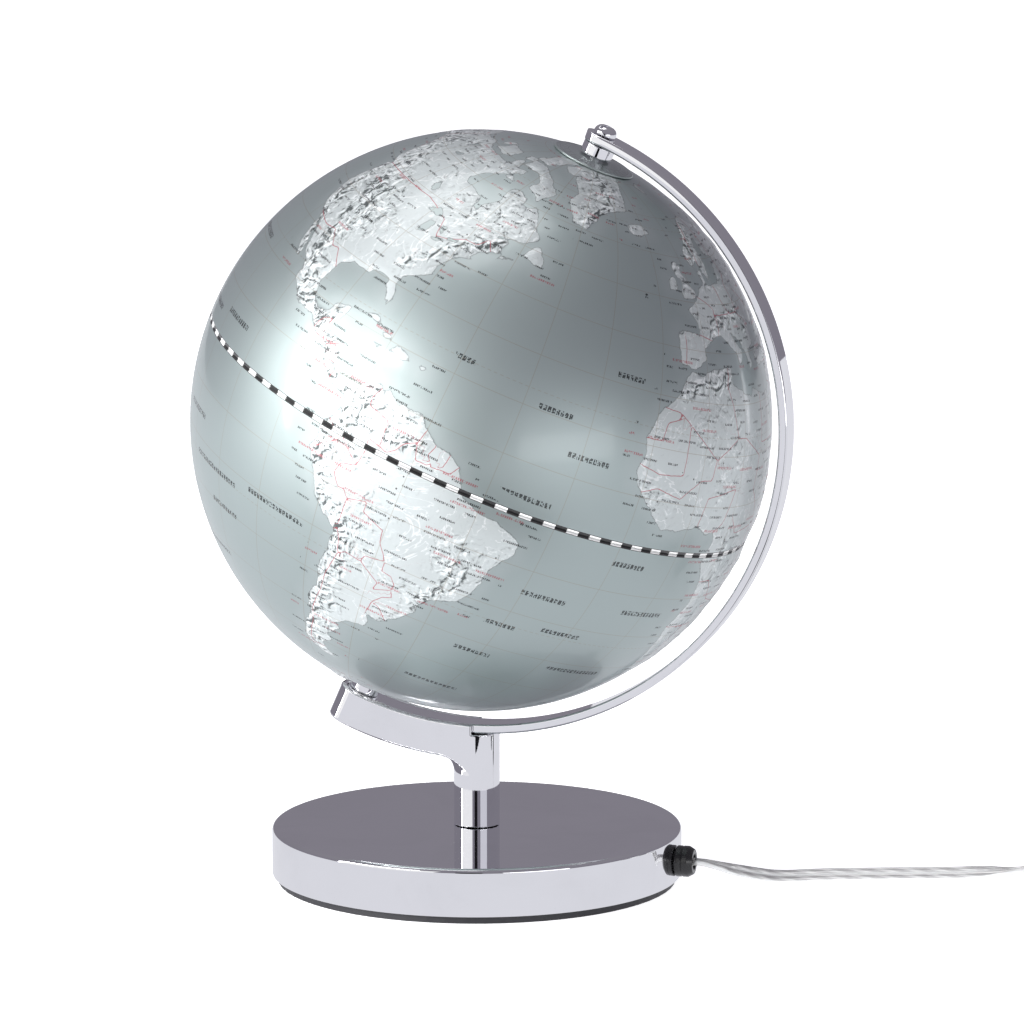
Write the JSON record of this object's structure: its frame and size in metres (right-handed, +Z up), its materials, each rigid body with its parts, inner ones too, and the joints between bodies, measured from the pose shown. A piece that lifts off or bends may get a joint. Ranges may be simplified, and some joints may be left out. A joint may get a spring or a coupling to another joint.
{
  "type": "desktop globe on stand",
  "caption": "Lit desktop globe: a relief ball on a tilted axis, held by a half-round chromed strip and arm over a weighted round base, with a flat mains cord and switch.",
  "frame": {"origin": "centre of the flat underside of the base, on the table", "axes": "+Z up; the half-round strip lies in the XZ plane on the ball's +X side, and the ball's north pole leans 23.5 degrees towards +X; the cord leaves the base along +X"},
  "size_m": [0.485, 0.25, 0.3325],
  "materials": {
    "chromed_metal": "mirror chrome",
    "steel": "plain zinc plate",
    "iron": "rough cast",
    "brass": "plain",
    "black_foot": "satin",
    "black_plastic": "gloss",
    "white_plastic": "satin",
    "printed_ball": "metallic print under gloss lacquer",
    "bulb_glass": "frosted",
    "clear_insulation": "clear sheath over tinned wire"
  },
  "bodies": {
    "stand": {"base_shell": "chromed_metal", "ballast_plate": "iron", "bottom_cover": "black_foot", "cover_screw_1": "steel", "cover_screw_2": "steel", "cover_screw_3": "steel", "post_bolt": "steel", "post_washer": "steel", "post_nut": "steel", "bracket": "chromed_metal", "meridian_arc": "chromed_metal", "arc_screw": "steel", "pivot_screw": "chromed_metal", "north_spacer": "chromed_metal", "south_spacer": "chromed_metal", "lamp_tube": "steel", "lamp_holder": "white_plastic", "bulb_cap": "brass", "bulb_glass": "bulb_glass", "lamp_lead": "clear_insulation", "cord_gland": "black_plastic", "gland_nut": "steel", "cord_run": "clear_insulation", "cord_coil": "clear_insulation", "switch_base": "black_plastic", "switch_cover": "black_plastic", "switch_contact": "brass", "plug_body": "black_plastic", "plug_pin_1": "steel", "plug_pin_2": "steel"},
    "globe": {"globe_north": "printed_ball", "globe_south": "printed_ball", "joining_ring": "white_plastic", "north_bush": "white_plastic", "south_bush": "white_plastic", "polar_disc": "chromed_metal"},
    "rocker": {"switch_rocker": "black_plastic"}
  },
  "joints": [
    {"name": "globe_spin", "type": "hinge", "parent": "stand", "child": "globe", "pos_m": [0.002, 0, 0.2015], "axis": [0.3987, 0, 0.9171], "continuous": true},
    {"name": "switch_tip", "type": "hinge", "parent": "stand", "child": "rocker", "pos_m": [0.26711, 0.06852, 0.0115], "axis": [-0.3007, 0.9537, 0], "range_deg": [-16, 0]}
  ]
}
